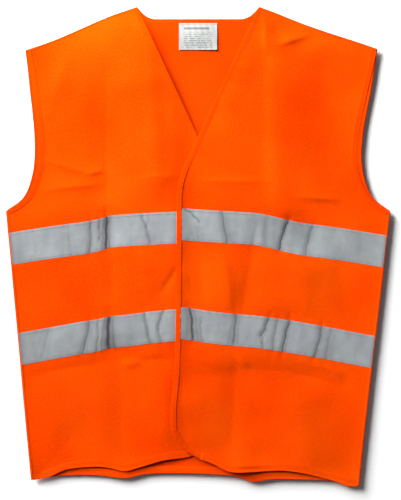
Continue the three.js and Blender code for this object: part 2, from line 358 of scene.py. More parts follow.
# How far each hem strays from its pattern line, at places along the vest.
hemStray = {
    "back": [(-0.258, 0.010), (-0.230, 0.011), (-0.186, 0.009), (-0.150, 0.005), (-0.112, -0.002),
             (-0.075, 0.003), (0.0, 0.002), (0.060, -0.001), (0.090, -0.0085), (0.120, -0.003),
             (0.160, 0.0), (0.220, 0.003), (0.258, 0.0)],
    "right": [(-0.258, 0.010), (-0.230, 0.013), (-0.209, 0.020), (-0.186, 0.021), (-0.154, 0.0175),
              (-0.135, 0.012), (-0.112, 0.003), (-0.091, 0.004), (-0.052, 0.007), (-0.020, 0.004),
              (0.0, 0.0025), (0.033, 0.0)],
    "left": [(-0.033, 0.0), (0.0, 0.0), (0.027, -0.003), (0.055, -0.0095), (0.090, -0.0025),
             (0.120, 0.005), (0.145, 0.0095), (0.176, 0.010), (0.200, 0.0075), (0.224, 0.004),
             (0.238, -0.0005), (0.258, 0.0)],
}

# How far each front tape strays from its straight runs, at places along the vest.
tapeStray = {
    "right": {
        "upper": [(-0.276, 0.0015), (-0.229, 0.0005), (-0.182, -0.0017), (-0.158, -0.0017),
                  (-0.135, 0.0023), (-0.087, 0.0031), (-0.040, 0.0030)],
        "lower": [(-0.276, 0.0011), (-0.182, -0.0003), (-0.158, -0.0019), (-0.135, 0.0006),
                  (-0.111, 0.0018), (-0.087, 0.0038), (-0.064, 0.0054), (-0.040, 0.0065)],
    },
    "left": {
        "upper": [(-0.024, 0.0046), (0.0, 0.0033), (0.046, 0.0017), (0.094, 0.0002), (0.117, -0.0011),
                  (0.141, -0.0032), (0.165, -0.0043), (0.188, -0.0032), (0.235, -0.0022), (0.259, -0.0023)],
        "lower": [(-0.024, 0.0068), (0.0, 0.0036), (0.023, 0.0006), (0.046, -0.0012), (0.070, -0.0030),
                  (0.094, -0.0038), (0.117, -0.0030), (0.165, -0.0019), (0.212, -0.0025), (0.259, -0.0033)],
    },
}

# Where each front hem lifts: place along it, height and reach.
hemLifts = {
    "right": [(-0.070, 0.0034, 0.050), (-0.170, 0.0014, 0.050)],
    "left": [(0.072, 0.0044, 0.026), (0.020, 0.0020, 0.030), (0.150, 0.0014, 0.045)],
}

# How far each front edge bows out, at what height and over what reach.
bow = {"left": 0.0055, "right": 0.0, "middle": -0.262, "reach": 0.050}

# Creases across the tapes: top and bottom ends, depth, half width and how dark its worn line and painted
# shade are.
rightCreases = {
    "upper": [
        ((-0.145, 0.052), (-0.143, -0.004), 0.0014, 0.0055, 0.85),
        ((-0.168, 0.044), (-0.171, -0.012), 0.0006, 0.0035, 0.45),
        ((-0.154, 0.050), (-0.156, 0.010), 0.0004, 0.0025, 0.40),
        ((-0.089, 0.050), (-0.075, 0.006), 0.0006, 0.0030, 0.40),
        ((-0.077, 0.052), (-0.080, 0.030), 0.0004, 0.0030, 0.22),
        ((-0.205, 0.036), (-0.198, -0.020), 0.0003, 0.0100, 0.14),
    ],
    "lower": [
        ((-0.140, -0.106), (-0.138, -0.162), 0.0012, 0.0090, 0.80),
        ((-0.169, -0.114), (-0.179, -0.168), 0.0006, 0.0045, 0.42),
        ((-0.155, -0.108), (-0.158, -0.165), 0.0004, 0.0025, 0.35),
        ((-0.085, -0.098), (-0.072, -0.154), 0.0006, 0.0030, 0.45),
        ((-0.052, -0.096), (-0.061, -0.130), 0.0005, 0.0028, 0.38),
        ((-0.062, -0.128), (-0.054, -0.154), 0.0004, 0.0024, 0.30),
        ((-0.232, -0.130), (-0.246, -0.176), 0.0003, 0.0090, 0.16),
    ],
}
leftCreases = {
    "upper": [
        ((0.038, 0.060), (0.045, 0.006), 0.0006, 0.0055, 0.42),
        ((0.141, 0.040), (0.127, -0.006), 0.0011, 0.0040, 0.70),
        ((0.108, 0.052), (0.104, 0.000), 0.0003, 0.0160, 0.22),
        ((0.179, 0.030), (0.168, -0.020), 0.0005, 0.0045, 0.34),
        ((-0.022, 0.060), (0.002, 0.040), 0.0004, 0.0018, 0.55),
        ((-0.004, 0.030), (0.004, 0.004), 0.0003, 0.0080, 0.16),
    ],
    "lower": [
        ((-0.012, -0.096), (-0.005, -0.150), 0.0008, 0.0080, 0.62),
        ((0.006, -0.118), (0.008, -0.152), 0.0004, 0.0030, 0.34),
        ((0.060, -0.098), (0.059, -0.152), 0.0006, 0.0060, 0.48),
        ((0.116, -0.108), (0.101, -0.140), 0.0007, 0.0042, 0.55),
        ((0.101, -0.138), (0.106, -0.164), 0.0005, 0.0030, 0.45),
        ((0.145, -0.112), (0.136, -0.166), 0.0008, 0.0042, 0.62),
        ((0.128, -0.114), (0.118, -0.166), 0.0004, 0.0034, 0.32),
        ((0.197, -0.124), (0.186, -0.176), 0.0006, 0.0038, 0.50),
        ((0.210, -0.128), (0.204, -0.178), 0.0003, 0.0090, 0.20),
    ],
}


# Smooth step from 0 at a to 1 at b.
def ease(value, a, b):
    t = np.clip((value - a) / (b - a), 0, 1)
    return t * t * (3 - 2 * t)


# Bell curve: 1 at no distance, falling as e to the minus square of distance over reach.
def bell(distance, reach):
    return np.exp(-((distance / reach) ** 2))


# Gentle unevenness between -1 and 1: a sum of sine waves in seeded directions.
def ripple(x, y, size, seed, count=7):
    draw = np.random.RandomState(seed)
    total = np.zeros_like(x)
    for _ in range(count):
        angle = draw.uniform(0, np.pi)
        phase = draw.uniform(0, 2 * np.pi)
        stretch = draw.uniform(0.7, 1.6)
        rate = 2 * np.pi / (size * stretch)
        total += np.sin(rate * (x * np.cos(angle) + y * np.sin(angle)) + phase)
    return total / count


# Distance across and share along a straight line from p to q.
def across(x, y, p, q):
    p, q = np.array(p), np.array(q)
    run = q - p
    length = np.hypot(*run)
    share = ((x - p[0]) * run[0] + (y - p[1]) * run[1]) / length**2
    aside = ((y - p[1]) * run[0] - (x - p[0]) * run[1]) / length
    return share, aside


# Ends of a fold: the fade's run, its most as a share of the length, and how far it starts outside.
foldEnds = {"run": 0.03, "share": 0.4, "past": 0.6}


# A fold is a tent across its line: its height falls off by e within its reach on either side,
# over a rounded crest, and fades out at both ends.
def fold(x, y, p, q, height, before, after, soft):
    share, aside = across(x, y, p, q)
    length = np.hypot(q[0] - p[0], q[1] - p[1])
    run = min(foldEnds["run"], foldEnds["share"] * length)
    start = -foldEnds["past"] * run
    fade = ease(share * length, start, run) * ease((1 - share) * length, start, run)
    distance = np.sqrt(aside**2 + soft**2) - soft
    return height * np.exp(-distance / np.where(aside > 0, after, before)) * fade


# How far a hem strays at x: a smooth curve through its places.
def strayed(name, x):
    points = np.array(hemStray[name])
    smooth = spline(points, 8)
    return np.interp(x, smooth[:, 0], smooth[:, 1])


# The front edge as the vest lies: its lower corner follows the strayed hem, and the edge above it
# bows out a little.
def frontEdgeLaid(name, mirror):
    line = frontEdge.copy()
    low = frontHem(cornerX)
    atCorner = 1 - ease(line[:, 1], low, low + cut["cornerSize"])
    line[:, 1] += strayed(name, mirror * line[:, 0]) * atCorner
    line = evenly(line, 420)
    line[:, 0] -= bow[name] * bell(line[:, 1] - bow["middle"], bow["reach"])
    return line


# The front hem lifts off the back in a few places, less and less up the panel.
def hemLift(name, x, y):
    above = np.clip(y - frontHem(x), 0, None)
    total = np.zeros_like(x)
    for middle, height, reach in hemLifts[name]:
        total += height * bell(x - middle, reach)
    return total * np.exp(-above / layer["hemLiftReach"])


# How far past its ends a crease fades out, as a share of its length, and its slow and quick bends.
creaseShape = {
    "past": 0.30,
    "slow": 0.0011,
    "slowRate": 4.4,
    "quick": 0.0005,
    "quickRate": 13.0,
    "seed": 900,
}


# A crease is a sharp valley, an exponential notch across its line.
def crease(x, y, p, q, depth, width):
    share, aside = across(x, y, p, q)
    aside = aside + wander(share, p)
    past = creaseShape["past"]
    fade = ease(share, -past, 0.0) * ease(share, 1 + past, 1.0)
    return -depth * np.exp(-np.abs(aside) / width) * fade


# A crease strays from its straight line by up to a millimetre or two, in two sine waves.
def wander(share, p):
    phase = creaseShape["seed"] * (p[0] + p[1])
    slow = creaseShape["slow"] * np.sin(creaseShape["slowRate"] * share + phase)
    return slow + creaseShape["quick"] * np.sin(creaseShape["quickRate"] * share + 2 * phase)


# Distance in from the side, armhole and shoulder edges of a front.
def insideEdge(x, y):
    run = shoulderTip - neckPoint
    normal = np.array([run[1], -run[0]]) / np.hypot(*run)
    below = (np.abs(x) - neckPoint[0]) * normal[0] + (y - neckPoint[1]) * normal[1]
    return np.clip(sideX(y) - np.abs(x), 0, None), np.clip(below, 0, None)


# The outer edges of the vest curl a little off the floor.
def edgeCurl(x, y):
    side = np.clip(sideX(y, outerBack) - np.abs(x), 0, None)
    foot = np.clip(y - backHem(x), 0, None)
    nearest = np.minimum(side, foot)
    return layer["curl"] * np.exp(-nearest / layer["curlReach"])


# Height of the back cloth: a slow ripple and the curl of its edges.
def backHeight(x, y):
    wave = 0.5 + 0.5 * ripple(x, y, 0.16, 11)
    return layer["backLift"] + layer["backWave"] * wave + edgeCurl(x, y)


# Height of a front over its seams: air, ripples, folds and the tapes' creases, pressed soft where it
# would sink into the cloth below, and gone at the side and shoulder seams.
def frontRelief(x, y, folds, creases, seed):
    side, shoulder = insideEdge(x, y)
    away = (1 - np.exp(-side / layer["loftReach"])) * (1 - np.exp(-shoulder / layer["loftReach"]))
    above = np.clip(y - frontHem(x), 0, None)
    away *= 1 - layer["hemQuiet"] * np.exp(-above / layer["loftReach"])
    total = layer["loft"] + layer["wave"] * (0.5 + 0.5 * ripple(x, y, 0.11, seed))
    total += layer["wrinkle"] * ripple(x, y, 0.045, seed + 1)
    total += layer["grain"] * ripple(x, y, 0.016, seed + 2, 9)
    for item in folds:
        total += layer["foldGain"] * fold(x, y, *item)
    for tape in creases.values():
        for p, q, depth, width, dark in tape:
            total += crease(x, y, p, q, layer["creaseGain"] * depth, width)
    settled = layer["press"] * np.logaddexp(0, total / layer["press"])
    return settled * away


# The under-lap lies flatter where the other front presses on it.
def rightHeight(x, y):
    pressed = 1 - (1 - layer["underRelief"]) * ease(x, *layer["underSpan"])
    relief = frontRelief(x, y, rightFolds, rightCreases, 23)
    return backHeight(x, y) + layer["seamGap"] + relief * pressed + hemLift("right", x, y)


# The over-lap climbs from the back onto the other front, and gapes a little at one place.
def leftHeight(x, y):
    lap = ease(x, layer["lapStart"], layer["lapEnd"])
    relief = frontRelief(x, y, leftFolds, leftCreases, 37)
    own = backHeight(x, y) + layer["seamGap"] + relief
    over = rightHeight(x, y) + layer["lapGap"] + layer["lapRelief"] * relief
    gap = gape["height"] * bell(y - gape["middle"], gape["reachUp"])
    gap *= bell(x - frontLine, gape["reachAcross"])
    return own + (over - own) * lap + gap + hemLift("left", x, y)


# The whole vest lies a little askew: its hem strays to one side, and its shoulders are not
# quite straight.
askew = {
    "hem": 0.0042,
    "hemWiden": 0.0019,
    "hemUp": (-0.37, 0.06),
    "tips": 0.0052,
    "tipsUp": (0.12, 0.30),
    "tipsOut": (0.10, 0.24),
    "shoulder": 0.0016,
    "shoulderUp": (0.25, 0.33),
    "shoulderOut": (0.09, 0.14),
    "shoulderStart": 0.02,
    "shoulderWave": 0.21,
}


def settle(places):
    x, y = places[..., 0], places[..., 1]
    low = 1 - ease(y, *askew["hemUp"])
    tips = ease(y, *askew["tipsUp"]) * ease(np.abs(x), *askew["tipsOut"])
    onShoulder = ease(y, *askew["shoulderUp"]) * ease(np.abs(x), *askew["shoulderOut"])
    wave = np.sin(2 * np.pi * (x - askew["shoulderStart"]) / askew["shoulderWave"])
    places = places.copy()
    places[..., 0] = x - (askew["hem"] + askew["hemWiden"] * x / halfChest) * low + askew["tips"] * tips
    places[..., 1] = y + askew["shoulder"] * onShoulder * wave
    return places


def addObject(name, mesh):
    piece = bpy.data.objects.new(name, mesh)
    bpy.context.scene.collection.objects.link(piece)
    return piece


def setUv(mesh, uv):
    layerUv = mesh.uv_layers.new(name="cloth")
    index = np.empty(len(mesh.loops), np.int32)
    mesh.loops.foreach_get("vertex_index", index)
    layerUv.data.foreach_set("uv", uv[index].astype(np.float32).ravel())


# A closed mesh with its finish, smooth shading and faces turned outwards.
def finished(name, mesh, finish):
    mesh.materials.append(finish)
    mesh.polygons.foreach_set("use_smooth", np.ones(len(mesh.polygons), bool))
    mesh.update()
    piece = addObject(name, mesh)
    facesOut(piece)
    return piece


def setValue(mesh, name, values):
    attribute = mesh.attributes.new(name, "FLOAT", "POINT")
    attribute.data.foreach_set("value", values.astype(np.float32).ravel())


# A sheet on a grid of rows and columns: its upper face, the same face lowered by its thickness,
# and a rim between them.
def sheetMesh(name, x, y, z, thick, finish, wearAndShade=None):
    turn = np.sum((x[0, -1] - x[0, 0]) * (y[-1, 0] - y[0, 0]))
    if turn < 0:
        x, y, z = x[:, ::-1], y[:, ::-1], z[:, ::-1]
        wearAndShade = None if wearAndShade is None else wearAndShade[:, ::-1]
    rows, columns = x.shape
    count = rows * columns
    upper = settle(np.stack([x, y, z + thick / 2], -1).reshape(-1, 3))
    lower = settle(np.stack([x, y, z - thick / 2], -1).reshape(-1, 3))
    number = np.arange(count).reshape(rows, columns)
    a, b = number[:-1, :-1].ravel(), number[:-1, 1:].ravel()
    c, d = number[1:, 1:].ravel(), number[1:, :-1].ravel()
    top = np.stack([a, b, c, d], 1)
    under = np.stack([d, c, b, a], 1) + count
    loop = np.concatenate([number[0, :], number[1:, -1], number[-1, -2::-1], number[-2:0:-1, 0]])
    nextLoop = np.roll(loop, -1)
    rim = np.stack([loop, loop + count, nextLoop + count, nextLoop], 1)
    faces = np.concatenate([top, under, rim])
    mesh = bpy.data.meshes.new(name)
    mesh.from_pydata(np.concatenate([upper, lower]).tolist(), [], faces.tolist())
    setUv(mesh, np.concatenate([upper[:, :2], lower[:, :2]]))
    if wearAndShade is not None:
        setValue(mesh, "wearAndShade", np.concatenate([wearAndShade.ravel(), wearAndShade.ravel()]))
    mesh.materials.append(finish)
    mesh.polygons.foreach_set("use_smooth", np.ones(len(faces), bool))
    onRim = np.zeros(2 * count, bool)
    onRim[loop] = onRim[loop + count] = True
    ends = np.empty(2 * len(mesh.edges), np.int32)
    mesh.edges.foreach_get("vertices", ends)
    ends = ends.reshape(-1, 2)
    sharp = onRim[ends].all(1) & ((ends[:, 0] < count) == (ends[:, 1] < count))
    mesh.attributes.new("sharp_edge", "BOOLEAN", "EDGE").data.foreach_set("value", sharp)
    mesh.update()
    return addObject(name, mesh)


# A profile carried along a path. The profile's first axis points along side and its second up.
def carried(name, path, side, profile, finish):
    up = np.array([0.0, 0.0, 1.0])
    sideways = np.column_stack([side, np.zeros(len(side))])
    rings = path[:, None, :] + sideways[:, None, :] * profile[None, :, 0:1] + up * profile[None, :, 1:2]
    rows, columns = rings.shape[:2]
    number = np.arange(rows * columns).reshape(rows, columns)
    nextNumber = np.roll(number, -1, axis=1)
    faces = np.stack([number[:-1], nextNumber[:-1], nextNumber[1:], number[1:]], -1).reshape(-1, 4)
    along = lengths(path)
    around = np.cumsum(np.linalg.norm(profile - np.roll(profile, 1, axis=0), axis=1))
    uv = np.stack(np.broadcast_arrays(along[:, None], around[None, :]), -1).reshape(-1, 2)
    ends = [number[0, ::-1].tolist(), number[-1].tolist()]
    mesh = bpy.data.meshes.new(name)
    mesh.from_pydata(settle(rings.reshape(-1, 3)).tolist(), [], faces.tolist() + ends)
    setUv(mesh, uv)
    return finished(name, mesh, finish)


# Turn every face of a closed mesh outwards, going by its signed volume.
def facesOut(piece):
    mesh = piece.data
    mesh.calc_loop_triangles()
    corners = np.empty(len(mesh.loop_triangles) * 3, np.int32)
    mesh.loop_triangles.foreach_get("vertices", corners)
    places = np.empty(len(mesh.vertices) * 3)
    mesh.vertices.foreach_get("co", places)
    a, b, c = places.reshape(-1, 3)[corners.reshape(-1, 3)].transpose(1, 0, 2)
    if np.sum(a * np.cross(b, c)) < 0:
        mesh.flip_normals()


# Flat loop: a superellipse of half width and half thickness, with a dip where the stitching
# pulls it in.
loopShape = {"widePower": 0.55, "thickPower": 0.5, "dip": 0.30, "dipReach": 0.16}


def bandProfile(halfWide, halfThick, stitchAt, count=26):
    turn = np.linspace(0, 2 * np.pi, count, endpoint=False)
    wide = halfWide * np.sign(np.cos(turn)) * np.abs(np.cos(turn)) ** loopShape["widePower"]
    thick = halfThick * np.sign(np.sin(turn)) * np.abs(np.sin(turn)) ** loopShape["thickPower"]
    thick *= 1 - loopShape["dip"] * bell(wide - stitchAt, loopShape["dipReach"] * halfWide)
    return np.stack([wide, thick], 1)


# Unit vectors across a flat path, to the left of its direction.
def leftOf(path):
    run = np.gradient(path[:, :2], axis=0)
    run /= np.linalg.norm(run, axis=1)[:, None]
    return np.stack([-run[:, 1], run[:, 0]], 1)


# Stitches: short arched beads every pitch along a path, each of five rings of six points.
stitch = {
    "pitch": 0.0034,
    "length": 0.0026,
    "thick": 0.00026,
    "thickUnder": 0.00020,
    "arch": 0.8,
    "taper": 0.85,
    "tip": 0.02,
}


def stitchRow(name, path, finish, thick=stitch["thick"]):
    ringCount, ringPoints = 5, 6
    middles = np.arange(stitch["pitch"], lengths(path)[-1] - stitch["pitch"] / 2, stitch["pitch"])
    t = np.linspace(-1, 1, ringCount)
    turn = np.linspace(0, 2 * np.pi, ringPoints, endpoint=False)
    spots = placesAt(path, middles[:, None] + t[None, :] * stitch["length"] / 2)
    spots[..., 2] += thick * stitch["arch"] * (1 - t**2)[None, :]
    run = spots[:, -1] - spots[:, 0]
    run /= np.linalg.norm(run, axis=1)[:, None]
    sideways = np.stack([-run[:, 1], run[:, 0], np.zeros(len(run))], 1)
    size = thick * np.sqrt(np.clip(1 - stitch["taper"] * t**2, stitch["tip"], 1))
    rings = (spots[:, :, None, :]
             + sideways[:, None, None, :] * (size[:, None] * np.cos(turn))[None, :, :, None]
             + np.array([0, 0, 1.0]) * (size[:, None] * np.sin(turn))[None, :, :, None])
    number = np.arange(ringCount * ringPoints).reshape(ringCount, ringPoints)
    nextNumber = np.roll(number, -1, axis=1)
    walls = np.stack([number[:-1], number[1:], nextNumber[1:], nextNumber[:-1]], -1).reshape(-1, 4)
    caps = np.stack([number[0], number[-1, ::-1]])
    first = number.size * np.arange(len(middles))[:, None, None]
    allWalls = (first + walls).reshape(-1, 4).tolist()
    allCaps = (first + caps).reshape(-1, ringPoints).tolist()
    mesh = bpy.data.meshes.new(name)
    mesh.from_pydata(settle(rings.reshape(-1, 3)).tolist(), [], allWalls + allCaps)
    return finished(name, mesh, finish)


# Points of a flat line laid on a surface.
def lay(points, height, lift=0.0):
    return np.column_stack([points, height(points[:, 0], points[:, 1]) + lift])


# Finishes: colours, then the roughness of the cloth and the pitch of its knit and of the
# binding's ribs.
finishes = {
    "clothDeep": (0.74, 0.036, 0.0),
    "clothBright": (0.80, 0.074, 0.001),
    # The inside colours are the cloth's colours darkened: painted shade for the inside of the vest.
    "insidePaintedShadeDeep": (0.68, 0.032, 0.0),
    "insidePaintedShadeBright": (0.72, 0.056, 0.001),
    "bindingDeep": (0.70, 0.034, 0.0),
    "bindingBright": (0.78, 0.060, 0.0),
    "tapeGrey": (0.306, 0.324, 0.330),
    "tapeShade": (0.186, 0.200, 0.208),
    "tapeMauve": (0.250, 0.238, 0.288),
    "tapeWornAndShaded": (0.055, 0.050, 0.052),
    "labelWhite": (0.31, 0.32, 0.31),
    "labelInk": (0.07, 0.08, 0.09),
    "threadOrange": (0.80, 0.060, 0.004),
    "threadGrey": (0.26, 0.27, 0.28),
    "hookOrange": (0.72, 0.10, 0.02),
    "loopOrange": (0.82, 0.13, 0.03),
    "clothRough": 0.72,
    "knitPitch": 0.0011,
    "ribPitch": 0.0009,
}


# Shader nodes of one material, added by short calls that give back the new node's output.
class Nodes:
    def __init__(self, name):
        self.material = bpy.data.materials.new(name)
        self.material.use_nodes = True
        self.tree = self.material.node_tree
        self.shader = self.tree.nodes["Principled BSDF"]

    # Gives inputs of a node, by name or number, a number, a colour or another node's output.
    def feed(self, node, values):
        for key, value in values.items():
            if isinstance(value, tuple):
                node.inputs[key].default_value = (*value, 1)
            elif isinstance(value, (int, float)):
                node.inputs[key].default_value = value
            else:
                self.tree.links.new(value, node.inputs[key])

    def add(self, kind, values=None, **settings):
        node = self.tree.nodes.new("ShaderNode" + kind)
        for key, value in settings.items():
            setattr(node, key, value)
        self.feed(node, values or {})
        return node

    # Looks of the surface: its colour and roughness, and any others by their full names.
    def surface(self, colour, rough, others=None):
        self.feed(self.shader, {"Base Color": colour, "Roughness": rough, **(others or {})})

    def math(self, operation, *inputs):
        return self.add("Math", dict(enumerate(inputs)), operation=operation).outputs[0]

    def mix(self, share, first, second):
        return self.add("Mix", {0: share, 6: first, 7: second}, data_type="RGBA").outputs[2]

    # 1 where a value lies between low and high, and 0 elsewhere.
    def between(self, value, low, high):
        above = self.math("GREATER_THAN", value, low)
        return self.math("MULTIPLY", above, self.math("LESS_THAN", value, high))

    def limit(self, value):
        return self.add("Clamp", {0: value}).outputs[0]

    def uv(self):
        return self.add("UVMap", uv_map="cloth").outputs[0]

    def noise(self, where, scale, detail=3.0, rough=0.5):
        values = {"Vector": where, "Scale": scale, "Detail": detail, "Roughness": rough}
        return self.add("TexNoise", values).outputs["Fac"]

    # Rows of ridges a pitch apart, running along one axis of the surface's own map.
    def ridges(self, where, pitch, direction):
        values = {"Vector": where, "Scale": 2 * np.pi / (20 * pitch)}
        return self.add("TexWave", values, wave_type="BANDS", bands_direction=direction).outputs["Fac"]

    def bump(self, height, distance, strength=1.0):
        node = self.add("Bump", {"Distance": distance, "Strength": strength, "Height": height})
        self.feed(self.shader, {"Normal": node.outputs["Normal"]})


# Knitted polyester: two crossed rows of fine ridges, with slow and fine changes of tone.
# Binding tape has a pitch of its own and long ribs.
def knitFinish(name, deep, bright, ribPitch=None):
    made = Nodes(name)
    where = made.uv()
    slow = made.noise(where, 7.0, 2.0)
    fine = made.noise(where, 300.0, 3.0, 0.75)
    tone = made.math("ADD", made.math("MULTIPLY", slow, 0.5), made.math("MULTIPLY", fine, 0.5))
    spread = made.math("MULTIPLY_ADD", tone, 3.6, -1.3)
    limited = made.limit(spread)
    pitch = finishes["knitPitch"] if ribPitch is None else ribPitch
    courses = made.ridges(where, pitch, "X")
    wales = made.ridges(where, pitch * (0.8 if ribPitch is None else 3.0), "Y")
    knit = made.math("MULTIPLY", courses, wales)
    base = made.mix(limited, deep, bright)
    colour = made.mix(made.math("MULTIPLY", knit, 0.10), base, deep)
    made.surface(colour, finishes["clothRough"], {"Specular IOR Level": 0.0})
    made.bump(made.math("ADD", knit, made.math("MULTIPLY", fine, 1.6)), 0.00026, 0.7)
    return made.material


# Reflective tape: grey glass beads, upright cloudy streaks of painted shade with a hint of mauve,
# worn dark lines where it was creased with painted shade beside them, and painted shade at the side.
def tapeFinish():
    made = Nodes("reflectiveTape")
    where = made.uv()
    tall = made.add("VectorMath", {0: where}, operation="MULTIPLY")
    tall.inputs[1].default_value = (1.0, 0.30, 1.0)
    streak = made.noise(tall.outputs[0], 34.0, 4.0, 0.55)
    cloud = made.noise(where, 60.0, 5.0, 0.6)
    tint = made.noise(tall.outputs[0], 17.0, 1.0)
    beads = made.noise(where, 1500.0, 2.0)
    wearAndShade = made.add("Attribute", attribute_name="wearAndShade").outputs["Fac"]
    broken = made.math("MULTIPLY_ADD", made.noise(where, 420.0, 3.0, 0.7), 2.2, 0.5)
    # The crease mask, worn lines with painted shade beside them and at the side, broken by noise, darkens
    # the tape.
    cracksAndShade = made.limit(made.math("MULTIPLY", wearAndShade, broken))
    # The streaks and clouds darken the tape towards its shade grey: painted shade of the segments between
    # its folds.
    share = made.math("ADD", made.math("MULTIPLY", streak, 0.7), made.math("MULTIPLY", cloud, 0.3))
    shaded = made.limit(made.math("MULTIPLY_ADD", share, 2.2, -0.6))
    clouded = made.mix(shaded, finishes["tapeGrey"], finishes["tapeShade"])
    mauve = made.limit(made.math("MULTIPLY_ADD", tint, 3.0, -1.3))
    tinted = made.mix(0.22, clouded, made.mix(mauve, clouded, finishes["tapeMauve"]))
    colour = made.mix(cracksAndShade, tinted, finishes["tapeWornAndShaded"])
    made.surface(colour, made.math("MULTIPLY_ADD", cloud, 0.22, 0.52), {"Specular IOR Level": 0.10})
    made.bump(made.math("ADD", made.math("MULTIPLY", beads, 0.3), cloud), 0.00022, 0.5)
    return made.material


# Label ribbon: white satin with plain grey bars in rows, broken at uneven places, that spell
# nothing. Spans are shares of the label's width or height.
bars = {
    "rowPitch": 0.0034,
    "rowFill": 0.34,
    "dash": 260.0,
    "rowShift": 3.7,
    "gaps": 0.44,
    "rowsAcross": (0.10, 0.88),
    "rowsUp": (0.08, 0.66),
    "headAcross": (0.14, 0.80),
    "headUp": (0.76, 0.84),
    "ink": 0.75,
}


def labelFinish(wide, tall):
    made = Nodes("labelRibbon")
    where = made.uv()
    split = made.add("SeparateXYZ", {0: where})
    sideways, upwards = split.outputs[0], split.outputs[1]
    row = made.math("DIVIDE", upwards, bars["rowPitch"])
    inRow = made.math("LESS_THAN", made.math("FRACT", row), bars["rowFill"])
    place = made.add("CombineXYZ", {
        0: made.math("MULTIPLY", sideways, bars["dash"]),
        1: made.math("MULTIPLY", made.math("FLOOR", row), bars["rowShift"]),
    })
    broken = made.math("GREATER_THAN", made.noise(place.outputs[0], 1.0, 0.0), bars["gaps"])

    def block(acrossSpan, upSpan):
        inX = made.between(sideways, wide * acrossSpan[0], wide * acrossSpan[1])
        inY = made.between(upwards, tall * upSpan[0], tall * upSpan[1])
        return made.math("MULTIPLY", inX, inY)

    dashes = made.math("MULTIPLY", inRow, broken)
    lines = made.math("MULTIPLY", dashes, block(bars["rowsAcross"], bars["rowsUp"]))
    printed = made.math("MAXIMUM", lines, block(bars["headAcross"], bars["headUp"]))
    shade = made.math("MULTIPLY", printed, bars["ink"])
    colour = made.mix(shade, finishes["labelWhite"], finishes["labelInk"])
    made.surface(colour, 0.42, {"Sheen Weight": 0.1})
    made.bump(made.ridges(where, 0.0007, "Y"), 0.00008, 0.4)
    return made.material


# Thread: fine fibres between its colour and a dimmer one.
def threadFinish(name, colour):
    made = Nodes(name)
    place = made.add("TexCoord").outputs["Object"]
    fibres = made.noise(place, 900.0, 2.0)
    dim = tuple(0.75 * value for value in colour)
    made.surface(made.mix(fibres, dim, colour), 0.7, {"Specular IOR Level": 0.15})
    made.bump(fibres, 0.0001, 0.5)
    return made.material


# Closure pads: cells of small hooks, or a tangle of soft loops.
def pileFinish(name, colour, cells, depth):
    made = Nodes(name)
    where = made.uv()
    pile = made.add("TexVoronoi", {"Scale": cells, "Vector": where})
    tangle = made.noise(where, cells * 0.6, 4.0, 0.7)
    dim = tuple(0.55 * value for value in colour)
    made.surface(made.mix(pile.outputs["Distance"], dim, colour), 0.9, {"Sheen Weight": 0.3})
    made.bump(made.math("ADD", pile.outputs["Distance"], tangle), depth, 0.8)
    return made.material


# Grid steps of the pieces with the lengths they divide.
build = {
    "panelStep": 0.0040,
    "frontStep": 0.0025,
    "tapeStep": 0.0016,
    "bandStep": 0.0026,
    "backLength": 0.74,
    "backReach": 0.9975,  # share of the half width that the cloth fills inside the bindings
    "backHem": 0.2,  # share of the back's rows over which its foot moves onto the hem
    "backTop": 0.72,  # share of the rows above which its top moves onto the neck and shoulders
    "frontLength": 0.75,
    "frontWidth": 0.29,
    "frontSpan": (0.0035, 0.9965),  # share of a front from its front edge to its side
    "frontHem": 0.14,
    "tapeLength": 0.31,
    "backTapeLength": 0.59,
}
sides = {
    "left": {"mirror": 1, "height": leftHeight, "body": "left_front", "joint": "left_front_open"},
    "right": {"mirror": -1, "height": rightHeight, "body": "right_front", "joint": "right_front_open"},
}


# Works out the inward direction across a front's fold line, which nothing uses, and bakes the
# piece's transform into its mesh.
def bendFront(piece, side):
    joint = joints[side["joint"]]
    axis = np.array(joint["axis"])
    inward = np.array([-axis[1], axis[0], 0.0])
    inward *= -side["mirror"] * np.sign(inward[0]) / np.linalg.norm(inward)
    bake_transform(piece)


# Number of points that cut a length into steps, both ends included.
def rowsFor(length, step):
    return int(round(length / step)) + 1


# A line divided into the step that bands, hems and seams use.
def stepped(line):
    return evenly(line, rowsFor(lengths(line)[-1], build["bandStep"]))


# The back is ruled from side to side, with its top moved onto the neck and shoulders and its
# foot onto the hem.
def makeBackPanel(finish):
    rows = rowsFor(build["backLength"], build["panelStep"])
    columns = rowsFor(2 * halfChest, build["panelStep"])
    outer = evenly(outerBack, rows)
    s = np.linspace(-build["backReach"], build["backReach"], columns)[None, :]
    v = np.linspace(0, 1, rows)[:, None]
    x = outer[:, 0:1] * s
    topLine = np.vstack([neckHalf()[::-1], shoulderTip])
    top = np.interp(np.abs(x), topLine[:, 0], topLine[:, 1])
    foot = backHem(x) - hemLevel + strayed("back", x)
    y = outer[:, 1:2] + (1 - ease(v, 0, build["backHem"])) * foot
    y += ease(v, build["backTop"], 1) * (top - shoulderTip[1])
    piece = sheetMesh("backPanel", x, y, backHeight(x, y), layer["clothThick"], finish)
    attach(piece, "back")
    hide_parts("back_panel")


# A front is ruled between its front edge and its outer edge, with the foot of the grid moved
# onto the hem.
def frontGrid(name, mirror):
    rows = rowsFor(build["frontLength"], build["frontStep"])
    columns = rowsFor(build["frontWidth"], build["frontStep"])
    inner, outer = evenly(frontEdgeLaid(name, mirror), rows), evenly(outerFront, rows)
    s = np.linspace(*build["frontSpan"], columns)[None, :]
    v = np.linspace(0, 1, rows)[:, None]
    x = inner[:, 0:1] * (1 - s) + outer[:, 0:1] * s
    y = inner[:, 1:2] * (1 - s) + outer[:, 1:2] * s
    toHem = frontHem(x[0]) + strayed(name, mirror * x[0]) - y[0]
    y = y + toHem[None, :] * (1 - ease(v, 0, build["frontHem"]))
    return mirror * x, y


